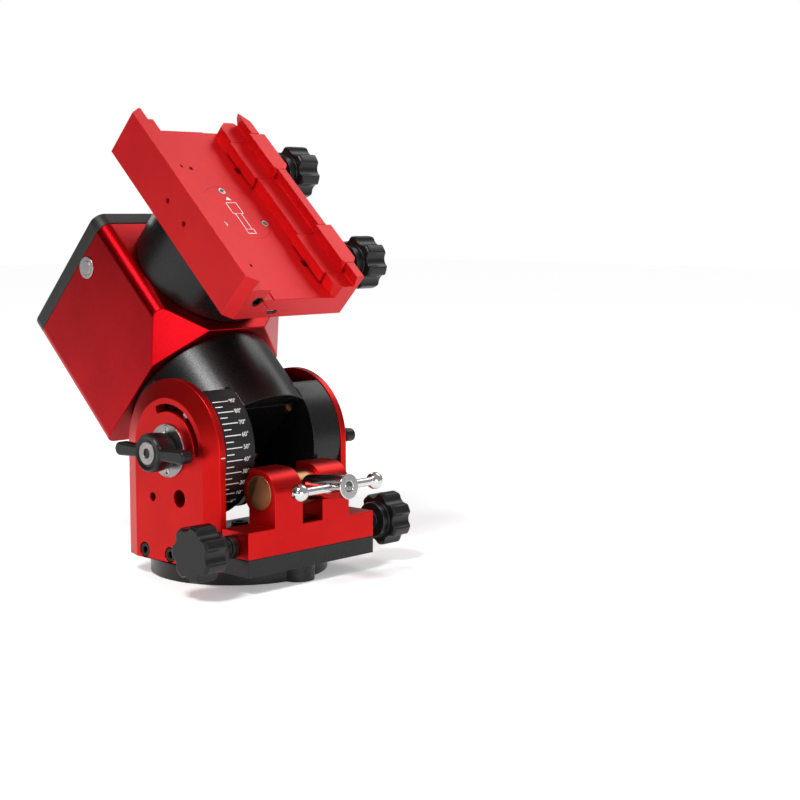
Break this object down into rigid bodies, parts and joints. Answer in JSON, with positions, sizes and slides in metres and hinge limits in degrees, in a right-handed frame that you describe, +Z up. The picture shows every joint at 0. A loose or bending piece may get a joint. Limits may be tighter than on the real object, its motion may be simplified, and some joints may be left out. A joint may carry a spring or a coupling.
{
  "type": "equatorial star tracker mount",
  "caption": "Red and black equatorial mount: tilting drum housing between two arms, turning head block, dovetail saddle with clamp knobs.",
  "frame": {"origin": "centre of the base's flat underside", "axes": "+Z up, +Y towards the pole side, X along the altitude axis"},
  "size_m": [0.196, 0.2796, 0.3296],
  "materials": {
    "red_aluminium": "satin red anodised",
    "black_aluminium": "black anodised, fine sandblasted",
    "bare_aluminium": "bright turned",
    "moulded_black": "moulded glass-filled nylon",
    "grey_cover": "fine-textured moulded",
    "steel": "turned stainless steel",
    "black_steel": "black oxide",
    "polished_steel": "polished",
    "brass": "turned",
    "scale_print": "engraved and filled strip",
    "belt_rubber": "toothed belt",
    "circuit_board": "solder mask",
    "tinned_metal": "plated shell"
  },
  "bodies": {
    "base": {"base_plate": "black_aluminium", "azimuth_peg": "steel", "pivot_bolt": "black_steel"},
    "cradle": {"cradle_floor": "black_aluminium", "arm_left": "red_aluminium", "arm_right": "red_aluminium", "arm_bolts": "black_steel", "trunnion_bushes": "brass", "trunnion_covers": "steel", "trunnion_cover_screws": "steel", "altitude_bracket": "red_aluminium"},
    "lever_left": {"lock_lever_left": "moulded_black", "lever_screw_left": "steel"},
    "lever_right": {"lock_lever_right": "moulded_black", "lever_screw_right": "steel"},
    "pusher_left": {"azimuth_pusher_left": "steel"},
    "pusher_right": {"azimuth_pusher_right": "steel"},
    "knob_left": {"azimuth_knob_left": "moulded_black"},
    "knob_right": {"azimuth_knob_right": "moulded_black"},
    "barrel": {"front_barrel": "brass"},
    "screw": {"altitude_screw": "polished_steel"},
    "tee": {"tee_bar": "polished_steel"},
    "nut": {"altitude_nut": "brass"},
    "ra_body": {"ra_housing": "black_aluminium", "latitude_scale": "scale_print", "trunnion_pins": "steel", "limit_pins": "steel", "ra_end_plate": "black_aluminium", "end_plate_screws": "brass", "ra_motor": "black_steel", "ra_belt": "belt_rubber", "ra_circular_spline": "steel", "ra_bearing": "steel"},
    "ra_motor_wheel": {"ra_motor_pulley": "bare_aluminium"},
    "ra_wave": {"ra_wave_generator": "bare_aluminium"},
    "head": {"head_block": "red_aluminium", "back_cover": "grey_cover", "back_cover_screws": "black_steel", "ra_flexspline": "steel", "control_board": "circuit_board", "button_bezel": "steel", "dec_motor": "black_steel", "dec_belt": "belt_rubber", "dec_circular_spline": "steel", "dec_bearing": "steel"},
    "button": {"button_cap": "moulded_black"},
    "dec_motor_wheel": {"dec_motor_pulley": "bare_aluminium"},
    "dec_wave": {"dec_wave_generator": "bare_aluminium"},
    "saddle": {"dec_drum": "black_aluminium", "dec_flexspline": "steel", "saddle_plate": "red_aluminium", "saddle_disc": "red_aluminium", "saddle_disc_screws": "steel", "dc_jack": "moulded_black", "usb_c_port": "tinned_metal"},
    "clamp_near": {"clamp_block_near": "red_aluminium"},
    "clamp_far": {"clamp_block_far": "red_aluminium"},
    "clamp_screw_near": {"clamp_knob_near": "moulded_black"},
    "clamp_screw_far": {"clamp_knob_far": "moulded_black"}
  },
  "joints": [
    {"name": "azimuth_turn", "type": "hinge", "parent": "base", "child": "cradle", "pos_m": [0, 0, 0], "axis": [0, 0, 1], "range_deg": [-6, 6]},
    {"name": "azimuth_pusher_left_travel", "type": "slide", "parent": "cradle", "child": "pusher_left", "axis": [1, 0, 0], "range_m": [-0.0066, 0.0066]},
    {"name": "azimuth_knob_left_turn", "type": "hinge", "parent": "cradle", "child": "knob_left", "pos_m": [-0.07, -0.0615, 0.032], "axis": [1, 0, 0], "range_deg": [-1560, 1560]},
    {"name": "lock_lever_left_turn", "type": "hinge", "parent": "cradle", "child": "lever_left", "pos_m": [-0.07, 0, 0.092], "axis": [1, 0, 0], "range_deg": [-20, 90]},
    {"name": "azimuth_pusher_right_travel", "type": "slide", "parent": "cradle", "child": "pusher_right", "axis": [1, 0, 0], "range_m": [-0.0066, 0.0066]},
    {"name": "azimuth_knob_right_turn", "type": "hinge", "parent": "cradle", "child": "knob_right", "pos_m": [0.07, -0.0615, 0.032], "axis": [1, 0, 0], "range_deg": [-1560, 1560]},
    {"name": "lock_lever_right_turn", "type": "hinge", "parent": "cradle", "child": "lever_right", "pos_m": [0.07, 0, 0.092], "axis": [1, 0, 0], "range_deg": [-20, 90]},
    {"name": "altitude_tilt", "type": "hinge", "parent": "cradle", "child": "ra_body", "pos_m": [0, 0, 0.092], "axis": [1, 0, 0], "range_deg": [-43.5, 46.5]},
    {"name": "altitude_screw_swing", "type": "hinge", "parent": "cradle", "child": "barrel", "pos_m": [0, -0.0615, 0.0655], "axis": [1, 0, 0], "range_deg": [-13.5, 14.5]},
    {"name": "altitude_nut_travel", "type": "slide", "parent": "barrel", "child": "nut", "axis": [0, 0.993, -0.1184], "range_m": [-0.0255, 0.0275]},
    {"name": "altitude_screw_turn", "type": "hinge", "parent": "barrel", "child": "screw", "pos_m": [0, -0.0615, 0.0655], "axis": [0, 0.993, -0.1184], "range_deg": [-6600, 6200]},
    {"name": "tee_bar_slide", "type": "slide", "parent": "screw", "child": "tee", "axis": [1, 0, 0], "range_m": [-0.02, 0.02]},
    {"name": "ra_turn", "type": "hinge", "parent": "ra_body", "child": "head", "pos_m": [0, 0, 0.092], "axis": [0, 0.7254, 0.6884], "continuous": true},
    {"name": "ra_wave_generator_turn", "type": "hinge", "parent": "ra_body", "child": "ra_wave", "pos_m": [0, 0, 0.092], "axis": [0, 0.7254, 0.6884], "continuous": true},
    {"name": "ra_motor_turn", "type": "hinge", "parent": "ra_body", "child": "ra_motor_wheel", "pos_m": [0, -0.0179, 0.11086], "axis": [0, 0.7254, 0.6884], "continuous": true},
    {"name": "dec_turn", "type": "hinge", "parent": "head", "child": "saddle", "pos_m": [0, 0.08131, 0.16917], "axis": [0, -0.6884, 0.7254], "continuous": true},
    {"name": "dec_wave_generator_turn", "type": "hinge", "parent": "head", "child": "dec_wave", "pos_m": [0, 0.08131, 0.16917], "axis": [0, -0.6884, 0.7254], "continuous": true},
    {"name": "dec_motor_turn", "type": "hinge", "parent": "head", "child": "dec_motor_wheel", "pos_m": [0, 0.10017, 0.18706], "axis": [0, -0.6884, 0.7254], "continuous": true},
    {"name": "button_push", "type": "slide", "parent": "head", "child": "button", "axis": [1, 0, 0], "range_m": [0, 0.001], "stiffness_N_per_m": 1200, "springref_m": -0.0012},
    {"name": "clamp_near_slide", "type": "slide", "parent": "saddle", "child": "clamp_near", "axis": [-1, 0, 0], "range_m": [0, 0.005]},
    {"name": "clamp_knob_near_turn", "type": "hinge", "parent": "clamp_near", "child": "clamp_screw_near", "pos_m": [0.087, -0.03839, 0.21962], "axis": [-1, 0, 0], "range_deg": [0, 1800.1]},
    {"name": "clamp_far_slide", "type": "slide", "parent": "saddle", "child": "clamp_far", "axis": [-1, 0, 0], "range_m": [0, 0.005]},
    {"name": "clamp_knob_far_turn", "type": "hinge", "parent": "clamp_far", "child": "clamp_screw_far", "pos_m": [0.087, 0.0319, 0.28632], "axis": [-1, 0, 0], "range_deg": [0, 1800.1]}
  ],
  "couplings": [
    {"joint": "azimuth_pusher_left_travel", "follows": "azimuth_turn", "m_per_rad": -0.0615},
    {"joint": "azimuth_knob_left_turn", "follows": "azimuth_turn", "ratio": 257.6},
    {"joint": "azimuth_pusher_right_travel", "follows": "azimuth_turn", "m_per_rad": -0.0615},
    {"joint": "azimuth_knob_right_turn", "follows": "azimuth_turn", "ratio": 257.6},
    {"joint": "altitude_screw_swing", "follows": "altitude_tilt", "ratio": 0.3026},
    {"joint": "altitude_nut_travel", "follows": "altitude_tilt", "m_per_rad": 0.03267},
    {"joint": "altitude_screw_turn", "follows": "altitude_tilt", "ratio": -136.85},
    {"joint": "ra_wave_generator_turn", "follows": "ra_turn", "ratio": -100},
    {"joint": "ra_motor_turn", "follows": "ra_turn", "ratio": -250},
    {"joint": "dec_wave_generator_turn", "follows": "dec_turn", "ratio": -100},
    {"joint": "dec_motor_turn", "follows": "dec_turn", "ratio": -250},
    {"joint": "clamp_knob_near_turn", "follows": "clamp_near_slide", "rad_per_m": 6283.2},
    {"joint": "clamp_knob_far_turn", "follows": "clamp_far_slide", "rad_per_m": 6283.2}
  ]
}
